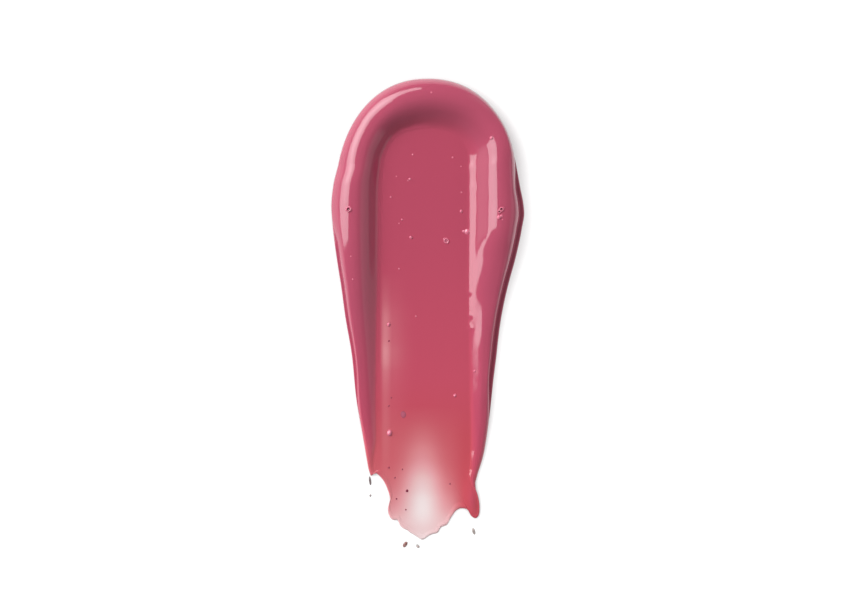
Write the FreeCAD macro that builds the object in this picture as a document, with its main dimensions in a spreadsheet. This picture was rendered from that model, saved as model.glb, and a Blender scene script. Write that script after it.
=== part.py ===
import FreeCAD, Part
import math
import os
import Sketcher

# A smear of lip gloss: one stroke of gloss laid on a flat surface and drawn out with a flat
# spreader. The spreader leaves a swept film between two raised beads, which join in a thick bow
# round the head, and the stroke thins to a torn edge at its tail. Air bubbles stand in its surface
# and a few flecks lie loose beside the torn edge.
#
# Frame: millimetres, +Z up, the smear lies on Z = 0, +Y runs from the tail to the head, and the
# origin is under the middle of the smear.

DIMENSIONS = {
    # the bow round the head: two half ellipses about centres on one cross line
    "widest_y": 9.9,
    "head_outer_centre_x": -0.04,
    "head_outer_half_width": 8.84,
    "head_outer_reach": 11.85,
    "head_inner_centre_x": -0.28,
    "head_inner_half_width": 4.08,
    "head_inner_reach": 7.1,
    "head_crest": 1.95,
    # the film under the spreader, thinning from the head to the torn edge
    "film_head_y": 17.6,
    "film_head_thickness": 0.56,
    "film_break_y": -9.0,
    "film_break_thickness": 0.30,
    "film_tip_y": -21.2,
    "film_tip_thickness": 0.12,
    "film_lap": 0.02,
    "slab_centre_x": -0.25,
    "slab_half_width": 4.85,
    "slab_arc_y": 12.6,
    # how far a bubble stands proud, as a share of its radius
    "bubble_rise": 0.6,
    # the lobe that ends the right bead
    "horn_x": 4.1,
    "horn_y": -17.0,
    "horn_half_width": 0.72,
    "horn_half_length": 2.0,
    "horn_height": 0.34,
}

# Stations along each side bead, from the widest line to the tail:
# (Y, X of the outer edge, X of the inner edge, height of the crest)
LEFT_STATIONS = (
    (9.9, -8.88, -4.30, 1.78),
    (4.9, -8.42, -4.34, 1.70),
    (-0.3, -7.70, -4.42, 1.20),
    (-4.0, -7.02, -4.50, 0.92),
    (-7.7, -6.62, -4.58, 0.68),
    (-11.4, -6.02, -4.62, 0.48),
    (-14.6, -5.48, -4.60, 0.32),
)
RIGHT_STATIONS = (
    (9.9, 8.80, 3.80, 2.30),
    (4.9, 7.88, 3.80, 2.14),
    (1.2, 6.95, 3.78, 1.60),
    (-2.5, 6.40, 3.78, 1.12),
    (-6.2, 6.05, 3.82, 0.74),
    (-9.2, 5.72, 3.88, 0.56),
    (-12.9, 5.20, 3.90, 0.44),
    (-15.8, 4.50, 3.40, 0.34),
)
HEAD_STEP_DEG = 22.5

# A bead's cross-section from its outer edge (0) to its inner edge (1), as shares of its width and
# of its crest height: a full round flank, the crest, and the slope down to the film.
FLANK = ((0.05, 0.44), (0.18, 0.80), (0.44, 1.0))
SLOPE = (0.73, 0.42)

# The torn edge from the left bead round to the horn, as arcs (start, point on the arc, end).
TORN_EDGE = (
    ((-5.30, -14.55), (-4.85, -14.85), (-4.16, -15.47)),
    ((-4.16, -15.47), (-3.79, -16.30), (-3.56, -17.26)),
    ((-3.56, -17.26), (-3.72, -18.30), (-3.24, -19.15)),
    ((-3.24, -19.15), (-3.02, -19.20), (-2.83, -19.14)),
    ((-2.83, -19.14), (-2.56, -19.72), (-2.06, -20.05)),
    ((-2.06, -20.05), (-1.50, -20.62), (-0.80, -20.90)),
    ((-0.80, -20.90), (-0.42, -20.98), (-0.05, -20.72)),
    ((-0.05, -20.72), (0.60, -20.36), (1.05, -20.06)),
    ((1.05, -20.06), (1.62, -19.62), (2.05, -19.08)),
    ((2.05, -19.08), (2.55, -18.32), (3.12, -18.09)),
    ((3.12, -18.09), (3.42, -18.10), (3.80, -18.28)),
)

# Bubbles big enough to name: (node, X, Y, radius)
BUBBLES = (
    ("bubble_left_crest", -7.26, 9.50, 0.23),
    ("bubble_right_crest_upper", 6.72, 9.36, 0.25),
    ("bubble_right_crest_lower", 6.58, 8.72, 0.22),
    ("bubble_right_shoulder", 5.80, 16.02, 0.13),
    ("bubble_sweep_ring", 1.67, 6.64, 0.24),
    ("bubble_sweep_centre", -1.57, 6.95, 0.14),
    ("bubble_sweep_upper_left", -1.72, 12.28, 0.16),
    ("bubble_sweep_right", 3.08, 9.37, 0.15),
    ("bubble_slope_foot", 3.62, 7.49, 0.20),
    ("bubble_left_foot", -3.62, -1.09, 0.18),
    ("bubble_lower_left", -3.55, -11.10, 0.28),
    ("bubble_lower_oval", -2.27, -9.40, 0.20),
    ("bubble_lower_right", 2.49, -7.63, 0.17),
    ("bubble_right_slope", 4.35, -5.36, 0.17),
    ("bubble_tail", -1.93, -16.46, 0.15),
)

# How finely a bubble's height on the gloss is found.
TOP_STEP = 0.001

# Specks of air too small to name, one node for each part of the stroke: (X, Y) and radii in turn.
MICRO_RADII = (0.10, 0.08, 0.09)
MICRO_BUBBLES = {
    "micro_bubbles_beads": ((0.31, 20.20), (-7.08, 5.20), (-6.90, 3.10)),
    "micro_bubbles_sweep": (
        (-1.41, 14.59), (-2.91, 12.59), (-3.43, 10.68), (2.28, 14.34), (3.05, 13.51),
        (3.10, 11.12), (-2.40, 8.60), (-2.66, 8.25), (-2.66, 4.06), (-1.10, -0.32),
    ),
    "micro_bubbles_tail": (
        (-3.60, -2.60), (-3.38, -7.84), (-3.62, -8.60), (-3.62, -14.30), (-2.36, -14.47),
        (-3.06, -15.24), (-2.91, -17.20), (-2.05, -18.20), (2.03, -15.80),
    ),
}

# Flecks of gloss that lie loose off the torn edge, chips with this many sides and bevelled to this
# share of their size at the top: (node, X, Y, half length, half width, height, turn from X, deg)
FLECK_SIDES = 9
FLECK_BEVEL = 0.6
FLECKS = (
    ("fleck_left_sliver", -5.36, -15.55, 0.40, 0.10, 0.09, 97.0),
    ("fleck_left_dot", -5.33, -16.90, 0.12, 0.09, 0.06, 90.0),
    ("fleck_tip_left", -2.12, -21.42, 0.30, 0.17, 0.13, 58.0),
    ("fleck_tip_middle", -0.93, -21.58, 0.19, 0.13, 0.08, 130.0),
    ("fleck_right", 4.22, -20.20, 0.30, 0.13, 0.10, 105.0),
)

doc = FreeCAD.newDocument("lip_gloss_smear")
sheet = doc.addObject("Spreadsheet::Sheet", "Sizes")


def fill_sheet():
    """Writes every driving dimension to its own cell, with an alias."""
    rows = dict(DIMENSIONS)
    for side, stations in (("left", LEFT_STATIONS), ("right", RIGHT_STATIONS)):
        for number, values in enumerate(stations):
            for word, value in zip(("y", "outer", "inner", "crest"), values):
                rows[f"{side}_{word}_{number}"] = value
    for node, _, _, radius in BUBBLES:
        rows[f"{node}_radius"] = radius
    for number, radius in enumerate(MICRO_RADII):
        rows[f"micro_radius_{number}"] = radius
    for node, _, _, length, width, height, _ in FLECKS:
        for word, value in zip(("length", "width", "height"), (length, width, height)):
            rows[f"{node}_{word}"] = value
    for row, (alias, value) in enumerate(rows.items(), start=1):
        sheet.set(f"A{row}", alias)
        sheet.set(f"B{row}", str(value))
        sheet.setAlias(f"B{row}", alias)
    doc.recompute()


def size(alias):
    """The number in a cell of the sheet."""
    return float(sheet.get(alias))


def film_height(along):
    """The film's thickness at a Y: two straight tapers, head to break and break to tip."""
    knots = [
        (size(f"film_{place}_y"), size(f"film_{place}_thickness"))
        for place in ("head", "break", "tip")
    ]
    high, low = knots[:2] if along > knots[1][0] else knots[1:]
    share = (along - low[0]) / (high[0] - low[0])
    return low[1] + share * (high[1] - low[1])


def bead_section(name, outer, inner, crest):
    """A closed wire across a bead, upright on the line from its outer edge to its inner edge."""
    across = inner - outer
    film = film_height(inner.y) + size("film_lap")

    def at(share, height):
        return outer + across * share + FreeCAD.Vector(0, 0, height)

    points = [at(0, 0)]
    points += [at(share, crest * rise) for share, rise in FLANK]
    points += [at(SLOPE[0], film + (crest - film) * SLOPE[1]), at(1, film)]
    top = Part.BSplineCurve()
    top.interpolate(
        Points=points,
        InitialTangent=FreeCAD.Vector(0, 0, 1),
        FinalTangent=FreeCAD.Vector(across).normalize(),
    )
    wall = Part.LineSegment(at(1, film), at(1, 0))
    foot = Part.LineSegment(at(1, 0), at(0, 0))
    section = doc.addObject("Part::Feature", name)
    section.Shape = Part.Wire([curve.toShape() for curve in (top, wall, foot)])
    return section


def side_sections(side, count):
    """The sections of the left or right bead, from the widest line to the tail."""
    sections = []
    for number in range(count):
        along, outer, inner, crest = (
            size(f"{side}_{word}_{number}") for word in ("y", "outer", "inner", "crest")
        )
        sections.append(
            bead_section(
                f"{side}_section_{number}",
                FreeCAD.Vector(outer, along, 0),
                FreeCAD.Vector(inner, along, 0),
                crest,
            )
        )
    return sections


def head_sections(right, left):
    """The bow's sections, from the right bead's first section round to the left bead's."""
    between = []
    turns = round(180 / HEAD_STEP_DEG)
    for number in range(1, turns):
        turn = math.radians(number * HEAD_STEP_DEG)
        edges = [
            FreeCAD.Vector(
                size(f"head_{edge}_centre_x") + size(f"head_{edge}_half_width") * math.cos(turn),
                size("widest_y") + size(f"head_{edge}_reach") * math.sin(turn),
                0,
            )
            for edge in ("outer", "inner")
        ]
        share = number / turns
        ends = size("right_crest_0") * (1 - share) + size("left_crest_0") * share
        crest = ends + (size("head_crest") - ends) * math.sin(turn)
        between.append(bead_section(f"head_section_{number}", *edges, crest))
    return [right, *between, left]


def loft(name, sections):
    """A solid drawn smoothly through the sections."""
    made = doc.addObject("Part::Loft", name)
    made.Label = name
    made.Sections = sections
    made.Solid = True
    return made


def origin_plane(body, role):
    """One of the body's own origin planes."""
    return next(o for o in body.Origin.OriginFeatures if o.Role == role)


def sketch_on(body, role, name):
    """An empty sketch on one of the body's origin planes."""
    sketch = body.newObject("Sketcher::SketchObject", name)
    sketch.AttachmentSupport = [(origin_plane(body, role), "")]
    sketch.MapMode = "FlatFace"
    return sketch


def bind(sketch, name, constraint, alias):
    """Adds a named constraint and ties it to a cell of the sheet."""
    index = sketch.addConstraint(constraint)
    sketch.renameConstraint(index, name)
    sketch.setExpression(f"Constraints.{name}", f"Sizes.{alias}")


def join(sketch, first, second):
    """Ties together the ends of two edges that meet."""
    def gap(ends):
        one, other = (sketch.getPoint(edge, end) for edge, end in zip((first, second), ends))
        return one.distanceToPoint(other)

    one, other = min(((a, b) for a in (1, 2) for b in (1, 2)), key=gap)
    sketch.addConstraint(Sketcher.Constraint("Coincident", first, one, second, other))


def pad(body, sketch, alias):
    """Raises a sketch by a height held in the sheet."""
    made = body.newObject("PartDesign::Pad", f"{body.Name}_pad")
    made.Profile = sketch
    made.setExpression("Length", f"Sizes.{alias}")
    return made


def taper(body, low, high):
    """Cuts away what stands above the film's taper between two of its named places."""
    sketch = sketch_on(body, "YZ_Plane", f"{body.Name}_taper_sketch")
    corners = [
        FreeCAD.Vector(size(f"film_{low}_y"), size(f"film_{low}_thickness"), 0),
        FreeCAD.Vector(size(f"film_{high}_y"), size(f"film_{high}_thickness"), 0),
        FreeCAD.Vector(size(f"film_{low}_y"), size(f"film_{high}_thickness"), 0),
    ]
    for number in range(3):
        sketch.addGeometry(Part.LineSegment(corners[number], corners[(number + 1) % 3]))
    for number in range(3):
        join(sketch, number, (number + 1) % 3)
    for number, (along, height) in enumerate(((low, low), (high, high), (low, high))):
        corner = corners[number]
        run = Sketcher.Constraint("DistanceX", -1, 1, number, 1, corner.x)
        rise = Sketcher.Constraint("DistanceY", -1, 1, number, 1, corner.y)
        bind(sketch, f"corner_{number}_y", run, f"film_{along}_y")
        bind(sketch, f"corner_{number}_z", rise, f"film_{height}_thickness")
    cut = body.newObject("PartDesign::Pocket", f"{body.Name}_taper")
    cut.Profile = sketch
    cut.Midplane = True
    cut.Type = 1  # through all
    return cut


def sweep_slab():
    """The swept film before the beads are cut from it: straight sides and a round head end."""
    body = doc.addObject("PartDesign::Body", "sweep_slab")
    sketch = sketch_on(body, "XY_Plane", "sweep_plan")
    middle, half = size("slab_centre_x"), size("slab_half_width")
    top, bottom = size("slab_arc_y"), size("film_break_y")
    corners = [
        FreeCAD.Vector(middle + half, top, 0),
        FreeCAD.Vector(middle - half, top, 0),
        FreeCAD.Vector(middle - half, bottom, 0),
        FreeCAD.Vector(middle + half, bottom, 0),
    ]
    arc = sketch.addGeometry(
        Part.ArcOfCircle(
            Part.Circle(FreeCAD.Vector(middle, top, 0), FreeCAD.Vector(0, 0, 1), half), 0, math.pi
        )
    )
    left = sketch.addGeometry(Part.LineSegment(corners[1], corners[2]))
    foot = sketch.addGeometry(Part.LineSegment(corners[2], corners[3]))
    right = sketch.addGeometry(Part.LineSegment(corners[3], corners[0]))
    # each side leaves the arc's end without a corner, and the foot closes the outline
    sketch.addConstraint(Sketcher.Constraint("Tangent", arc, 2, left, 1))
    sketch.addConstraint(Sketcher.Constraint("Tangent", right, 2, arc, 1))
    join(sketch, left, foot)
    join(sketch, foot, right)
    sketch.addConstraint(Sketcher.Constraint("Vertical", left))
    sketch.addConstraint(Sketcher.Constraint("Vertical", right))
    sketch.addConstraint(Sketcher.Constraint("Horizontal", foot))
    for name, constraint, alias in (
        ("arc_x", Sketcher.Constraint("DistanceX", -1, 1, arc, 3, middle), "slab_centre_x"),
        ("arc_y", Sketcher.Constraint("DistanceY", -1, 1, arc, 3, top), "slab_arc_y"),
        ("half", Sketcher.Constraint("Radius", arc, half), "slab_half_width"),
        ("foot_y", Sketcher.Constraint("DistanceY", -1, 1, foot, 1, bottom), "film_break_y"),
    ):
        bind(sketch, name, constraint, alias)
    pad(body, sketch, "film_head_thickness")
    taper(body, "break", "head")
    return body


def tail_slab():
    """The thin tail before the beads are cut from it: the torn edge closed along the break."""
    body = doc.addObject("PartDesign::Body", "tail_slab")
    sketch = sketch_on(body, "XY_Plane", "tail_plan")
    torn = [[FreeCAD.Vector(x, y, 0) for x, y in arc] for arc in TORN_EDGE]
    for start, through, end in torn:
        sketch.addGeometry(Part.Arc(start, through, end))
    middle, half = size("slab_centre_x"), size("slab_half_width")
    top = size("film_break_y")
    closing = [
        torn[-1][2],
        FreeCAD.Vector(size("horn_x"), size("horn_y"), 0),
        FreeCAD.Vector(size("right_inner_7") + 0.3, size("right_y_7"), 0),
        FreeCAD.Vector(middle + half, size("right_y_6"), 0),
        FreeCAD.Vector(middle + half, top, 0),
        FreeCAD.Vector(middle - half, top, 0),
        torn[0][0],
    ]
    for start, end in zip(closing, closing[1:]):
        sketch.addGeometry(Part.LineSegment(start, end))
    count = sketch.GeometryCount
    for number in range(count):
        join(sketch, number, (number + 1) % count)
    pad(body, sketch, "film_break_thickness")
    taper(body, "tip", "break")
    return body


def cut(name, base, tool):
    """base with tool taken away."""
    made = doc.addObject("Part::Cut", name)
    made.Label = name
    made.Base = base
    made.Tool = tool
    return made


def horn_lobe():
    """The rounded lobe at the end of the right bead: the upper half of an ellipsoid."""
    made = doc.addObject("Part::Ellipsoid", "horn_lobe")
    made.Angle1 = 0
    made.setExpression("Radius1", "Sizes.horn_height")
    made.setExpression("Radius2", "Sizes.horn_half_width")
    made.setExpression("Radius3", "Sizes.horn_half_length")
    made.setExpression("Placement.Base.x", "Sizes.horn_x")
    made.setExpression("Placement.Base.y", "Sizes.horn_y")
    return made


def top_at(shape, x, y):
    """The height of a solid's upper surface at a place, by halving the space it can be in."""
    low, high = 0.0, shape.BoundBox.ZMax + 1
    while high - low > TOP_STEP:
        middle = (low + high) / 2
        if shape.isInside(FreeCAD.Vector(x, y, middle), TOP_STEP / 10, True):
            low = middle
        else:
            high = middle
    return low


def bubble(name, x, y, alias, host):
    """A bubble's dome: a ball sunk in the gloss, less the gloss that it stands in."""
    ball = doc.addObject("Part::Sphere", f"{name}_ball")
    ball.setExpression("Radius", f"Sizes.{alias}")
    centre = top_at(host.Shape, x, y) - (1 - size("bubble_rise")) * size(alias)
    if centre < size(alias):
        ball.Angle1 = 0  # a film thinner than the bubble: only the half above its centre
    ball.Placement.Base = FreeCAD.Vector(x, y, centre)
    return cut(name, ball, host)


def fleck(name, x, y, turn):
    """A loose fleck: a thin chip with bevelled sides, turned to lie as it fell."""
    length, width, height = (size(f"{name}_{word}") for word in ("length", "width", "height"))
    place = FreeCAD.Placement(
        FreeCAD.Vector(x, y, 0), FreeCAD.Rotation(FreeCAD.Vector(0, 0, 1), turn)
    )
    rims = []
    for level, share in ((0, 1), (height, FLECK_BEVEL)):
        corners = []
        for number in range(FLECK_SIDES):
            angle = 2 * math.pi * number / FLECK_SIDES
            along = share * length * math.cos(angle)
            across = share * width * math.sin(angle)
            corners.append(place.multVec(FreeCAD.Vector(along, across, level)))
        rim = doc.addObject("Part::Feature", f"{name}_rim_{len(rims)}")
        rim.Shape = Part.makePolygon([*corners, corners[0]])
        rims.append(rim)
    made = loft(name, rims)
    made.Ruled = True
    return made


def group(name, members):
    """Separate small solids that share one node."""
    made = doc.addObject("Part::Compound", name)
    made.Label = name
    made.Links = members
    return made


def build():
    """Makes every sub-part and returns those that are written out."""
    left_wires = side_sections("left", len(LEFT_STATIONS))
    right_wires = side_sections("right", len(RIGHT_STATIONS))
    beads = [
        loft("head_bead", head_sections(right_wires[0], left_wires[0])),
        loft("left_bead", left_wires),
        loft("right_bead", right_wires),
    ]
    doc.recompute()
    rim = doc.addObject("Part::MultiFuse", "rim_tool")
    rim.Shapes = beads
    sweep = cut("swept_film", sweep_slab(), rim)
    horn = cut("right_horn", horn_lobe(), rim)
    doc.recompute()
    rim_and_horn = doc.addObject("Part::MultiFuse", "rim_and_horn_tool")
    rim_and_horn.Shapes = [rim, horn]
    tail = cut("tail_film", tail_slab(), rim_and_horn)
    doc.recompute()
    mass = doc.addObject("Part::MultiFuse", "gloss_tool")
    mass.Shapes = [rim_and_horn, sweep, tail]
    doc.recompute()
    bubbles = [bubble(name, x, y, f"{name}_radius", mass) for name, x, y, _ in BUBBLES]
    groups = []
    for name, places in MICRO_BUBBLES.items():
        specks = [
            bubble(f"{name}_{n}", x, y, f"micro_radius_{n % len(MICRO_RADII)}", mass)
            for n, (x, y) in enumerate(places)
        ]
        groups.append(group(name, specks))
    flecks = [fleck(name, x, y, turn) for name, x, y, _, _, _, turn in FLECKS]
    doc.recompute()
    return [*beads, sweep, tail, horn, *bubbles, *groups, *flecks]


def write(parts):
    """Checks every object, then writes one STEP file for each sub-part."""
    for item in doc.Objects:
        if {"Invalid", "Error"} & set(item.State):
            raise RuntimeError(f"{item.Label} failed: {item.State}")
    for part in parts:
        if part.Shape.isNull() or not part.Shape.isValid() or not part.Shape.Solids:
            raise RuntimeError(f"{part.Label} has no valid solid")
    os.makedirs("parts", exist_ok=True)
    for part in parts:
        part.Shape.exportStep(f"parts/{part.Label}.step")
        box = part.Shape.BoundBox
        print(
            f"{part.Label}: {len(part.Shape.Solids)} solid(s), {part.Shape.Volume:.4f} mm3,"
            f" X {box.XMin:.2f}..{box.XMax:.2f} Y {box.YMin:.2f}..{box.YMax:.2f}"
            f" Z {box.ZMin:.3f}..{box.ZMax:.3f}"
        )


fill_sheet()
write(build())
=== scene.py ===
"""The looks of a smear of lip gloss: one wet, seamless mass of gloss with bubbles and flecks.

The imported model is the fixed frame. Its zones of gloss are replaced by one seamless skin, which
follows the same outline, beads and film, and its bubbles and flecks by finer ones.
"""

import enum
import logging
import math
from dataclasses import dataclass

import bmesh
import bpy
import numpy as np
from mathutils import Matrix, Vector
from mathutils.bvhtree import BVHTree


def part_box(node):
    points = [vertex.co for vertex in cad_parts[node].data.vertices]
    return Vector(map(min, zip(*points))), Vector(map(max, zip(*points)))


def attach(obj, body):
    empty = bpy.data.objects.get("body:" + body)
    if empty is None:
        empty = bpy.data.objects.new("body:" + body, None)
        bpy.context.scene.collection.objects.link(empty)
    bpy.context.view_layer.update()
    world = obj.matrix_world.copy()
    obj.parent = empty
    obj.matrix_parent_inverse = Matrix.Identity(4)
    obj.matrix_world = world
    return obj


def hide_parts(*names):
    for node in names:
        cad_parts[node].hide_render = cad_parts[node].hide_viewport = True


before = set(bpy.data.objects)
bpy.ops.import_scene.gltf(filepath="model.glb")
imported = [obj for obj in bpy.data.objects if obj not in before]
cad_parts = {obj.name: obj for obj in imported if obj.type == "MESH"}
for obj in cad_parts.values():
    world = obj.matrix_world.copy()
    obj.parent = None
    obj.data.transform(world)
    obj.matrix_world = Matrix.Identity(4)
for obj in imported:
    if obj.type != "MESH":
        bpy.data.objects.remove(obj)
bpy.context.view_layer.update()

MM = 0.001
ROOT = "root"
LOG = logging.getLogger("gloss_smear")

ZONES = ("head_bead", "left_bead", "right_bead", "swept_film", "tail_film", "right_horn")
MICRO_GROUPS = ("micro_bubbles_beads", "micro_bubbles_sweep", "micro_bubbles_tail")


def linear(hex_colour: str) -> tuple[float, float, float, float]:
    """Turns an sRGB hex colour into the linear colour that a shader takes.

    Args:
        hex_colour: six hex digits after a hash.

    Returns:
        Linear red, green and blue, and an alpha of 1.
    """
    channels = [int(hex_colour[i:i + 2], 16) / 255 for i in (1, 3, 5)]
    red, green, blue = (
        c / 12.92 if c <= 0.04045 else ((c + 0.055) / 1.055) ** 2.4 for c in channels
    )
    return red, green, blue, 1.0


def fill(node: bpy.types.Node, inputs: dict[int | str, object]) -> bpy.types.Node:
    """Fills a node's inputs, each with a socket to link from or a value to set."""
    for key, value in inputs.items():
        if isinstance(value, bpy.types.NodeSocket):
            node.id_data.links.new(value, node.inputs[key])
        else:
            node.inputs[key].default_value = value
    return node


def add_node(
    tree: bpy.types.NodeTree,
    kind: str,
    inputs: dict[int | str, object] | None = None,
    **settings: object,
) -> bpy.types.Node:
    """Adds a node, sets its options and fills its inputs.

    Args:
        tree: the node tree that takes it.
        kind: the node's type name.
        inputs: for each input, a socket to link from or a value to set.
        **settings: the node's own options.

    Returns:
        The new node.
    """
    node = tree.nodes.new(kind)
    for name, value in settings.items():
        setattr(node, name, value)
    return fill(node, inputs or {})


def compute(
    tree: bpy.types.NodeTree, operation: str, one: object, other: object = 0.0
) -> bpy.types.NodeSocket:
    """The result of a sum on one or two numbers, each a socket or a value."""
    return add_node(tree, "ShaderNodeMath", {0: one, 1: other}, operation=operation).outputs[0]


def blend(
    tree: bpy.types.NodeTree, share: bpy.types.NodeSocket, start: object, end: object
) -> bpy.types.NodeSocket:
    """A colour that goes from start to end as the share goes from 0 to 1."""
    inputs = {"Factor": share, 6: start, 7: end}
    return add_node(tree, "ShaderNodeMix", inputs, data_type="RGBA").outputs[2]


def told(tree: bpy.types.NodeTree, attribute: str) -> bpy.types.NodeSocket:
    """A number that the mesh gives for each of its points."""
    return add_node(tree, "ShaderNodeAttribute", attribute_name=attribute).outputs["Fac"]


def new_material(name: str) -> tuple[bpy.types.Material, bpy.types.NodeTree, bpy.types.Node]:
    """A new material, its node tree and its shader."""
    material = bpy.data.materials.new(name)
    material.use_nodes = True
    return material, material.node_tree, material.node_tree.nodes["Principled BSDF"]


def add_piece(mesh: bpy.types.Mesh, slot: str, *nodes: str) -> bpy.types.Object:
    """Puts a finished mesh in the scene, as a piece of the one body.

    Args:
        mesh: the piece's mesh, whose name it takes.
        slot: not used.
        *nodes: the CAD nodes that it stands for.

    Returns:
        The piece.
    """
    piece = bpy.data.objects.new(mesh.name, mesh)
    bpy.context.scene.collection.objects.link(piece)
    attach(piece, ROOT)
    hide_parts(*nodes)
    LOG.info("%s: %d faces", piece.name, len(mesh.polygons))
    return piece


def smooth(low: float, high: float, value: np.ndarray) -> np.ndarray:
    """A smooth step from 0 at low to 1 at high."""
    share = np.clip((value - low) / (high - low), 0, 1)
    return share * share * (3 - 2 * share)


def corners(*points: int) -> tuple[int, ...]:
    """A face's corners, each once: a face that ends in a point has three."""
    return tuple(dict.fromkeys(int(point) for point in points))


def quarter_round(share: np.ndarray) -> np.ndarray:
    """The rise of a rounded edge, from 0 at its foot to 1 where its share of the way is 1."""
    return np.sqrt(1 - np.clip(1 - share, 0, 1) ** 2)


def span(node: str) -> tuple[np.ndarray, np.ndarray]:
    """Lowest and highest corner of a CAD node, in millimetres."""
    low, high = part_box(node)
    return np.array(low) / MM, np.array(high) / MM


# --------------------------------------------------------------------------- the smear's shape


@dataclass(frozen=True)
class Station:
    """A level cross-section of one side of the stroke.

    Attributes:
        along: share of the way from the widest line to the torn tip, less than 0 above that line.
        outer: X of the outer edge, as a share of half the smear's width.
        crest: X of the bead's crest, likewise.
        foot: X of the bead's foot, where the film starts, likewise.
        rise: height of the crest, as a share of the tallest crest on that side.
    """

    along: float
    outer: float
    crest: float
    foot: float
    rise: float


LEFT_STATIONS = tuple(Station(*row) for row in (
    (-0.122, -0.938, -0.690, -0.470, 0.93), (-0.060, -0.990, -0.737, -0.484, 1.00),
    (0.000, -1.010, -0.749, -0.487, 1.00), (0.060, -0.996, -0.752, -0.487, 0.99),
    (0.162, -0.951, -0.749, -0.490, 0.93), (0.245, -0.905, -0.736, -0.496, 0.83),
    (0.330, -0.865, -0.721, -0.505, 0.68), (0.450, -0.794, -0.688, -0.516, 0.51),
    (0.570, -0.752, -0.660, -0.522, 0.38), (0.690, -0.681, -0.622, -0.524, 0.27),
    (0.792, -0.620, -0.577, -0.518, 0.18),
))
RIGHT_STATIONS = tuple(Station(*row) for row in (
    (-0.122, 0.922, 0.768, 0.418, 1.00), (-0.060, 0.961, 0.778, 0.415, 1.00),
    (0.000, 1.000, 0.784, 0.413, 1.00), (0.024, 1.006, 0.782, 0.413, 1.00),
    (0.066, 0.983, 0.774, 0.413, 0.985), (0.090, 0.968, 0.768, 0.413, 0.95),
    (0.162, 0.911, 0.737, 0.411, 0.740), (0.220, 0.855, 0.700, 0.410, 0.615),
    (0.282, 0.802, 0.658, 0.410, 0.520), (0.345, 0.760, 0.620, 0.413, 0.482),
    (0.400, 0.734, 0.592, 0.424, 0.455), (0.450, 0.715, 0.584, 0.430, 0.432),
    (0.521, 0.684, 0.578, 0.434, 0.405), (0.570, 0.666, 0.567, 0.436, 0.370),
    (0.620, 0.647, 0.560, 0.436, 0.300), (0.738, 0.586, 0.520, 0.436, 0.20),
    (0.810, 0.512, 0.470, 0.420, 0.16),
))

# The torn edge from the left bead's end round to the right bead's end, in the same shares of half
# the width and of the way from the widest line to the tip.
TORN_EDGE = (
    (-0.606, 0.802), (-0.596, 0.809), (-0.574, 0.805), (-0.540, 0.802), (-0.502, 0.810),
    (-0.470, 0.821), (-0.444, 0.834), (-0.428, 0.845), (-0.408, 0.861), (-0.397, 0.879),
    (-0.408, 0.893), (-0.418, 0.907), (-0.413, 0.921), (-0.392, 0.934), (-0.362, 0.941),
    (-0.320, 0.941), (-0.300, 0.951), (-0.283, 0.960), (-0.251, 0.967), (-0.212, 0.972),
    (-0.183, 0.979), (-0.152, 0.984), (-0.105, 0.993), (-0.055, 1.000), (0.004, 0.989),
    (0.047, 0.983), (0.100, 0.979), (0.136, 0.963), (0.197, 0.955), (0.232, 0.938),
    (0.280, 0.917), (0.314, 0.909), (0.352, 0.906), (0.412, 0.910), (0.448, 0.927),
    (0.470, 0.933), (0.496, 0.936), (0.523, 0.931), (0.538, 0.920), (0.541, 0.905),
    (0.538, 0.889), (0.523, 0.867), (0.502, 0.848), (0.496, 0.828),
)


@dataclass(frozen=True)
class BowStation:
    """A cut across the bow round the head, out from the top of the spine.

    Attributes:
        turn: direction of the cut in degrees, from 0 on the right to 180 on the left.
        crest: distance to the crest, as a share of half the smear's width.
        foot: distance to the foot, likewise.
        rise: height of the crest, as a share of the tallest.
    """

    turn: float
    crest: float
    foot: float
    rise: float


BOW_STATIONS = tuple(BowStation(*row) for row in (
    (0, 0.796, 0.446, 1.000), (10, 0.815, 0.452, 0.995), (22, 0.825, 0.456, 0.940),
    (35, 0.805, 0.449, 0.880), (50, 0.770, 0.428, 0.845), (70, 0.715, 0.392, 0.835),
    (90, 0.680, 0.376, 0.830), (110, 0.668, 0.381, 0.810), (125, 0.662, 0.405, 0.775),
    (140, 0.658, 0.418, 0.720), (155, 0.648, 0.420, 0.690), (168, 0.653, 0.432, 0.700),
    (180, 0.662, 0.442, 0.720),
))

# The outline of the head is half of a rounded oblong: its half width and reach as shares of half
# the smear's width and of the way from the widest line to the top, and the power that squares it.
HEAD_OUTLINE = (0.978, 0.992, 2.2)

# By share of the way from the widest line to the tip: how much of the white below shows through
# the film's middle, through the rest of it, and in the groove at the foot of the left bead, and
# the film's thickness as a share of its thickest.
WIPED_MIDDLE = (
    (0.600, 0.00), (0.641, 0.02), (0.671, 0.05), (0.701, 0.09), (0.731, 0.15), (0.761, 0.21),
    (0.791, 0.33), (0.821, 0.48), (0.851, 0.56), (0.881, 0.65), (0.911, 0.58), (0.941, 0.34),
    (0.971, 0.17), (1.000, 0.22),
)
WIPED_SIDES = (
    (0.600, 0.00), (0.700, 0.02), (0.760, 0.03), (0.820, 0.06), (0.880, 0.15), (0.910, 0.24),
    (0.940, 0.40), (0.970, 0.48), (1.000, 0.52),
)
GROOVE = (
    (0.200, 0.00), (0.282, 0.05), (0.342, 0.125), (0.400, 0.145), (0.437, 0.20), (0.465, 0.175),
    (0.500, 0.10), (0.580, 0.055), (0.680, 0.045), (0.780, 0.02),
)
FILM_THICKNESS = (
    (-0.300, 1.00), (0.000, 0.95), (0.330, 0.78), (0.550, 0.62), (0.700, 0.48), (0.820, 0.34),
    (1.000, 0.20),
)


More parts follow.
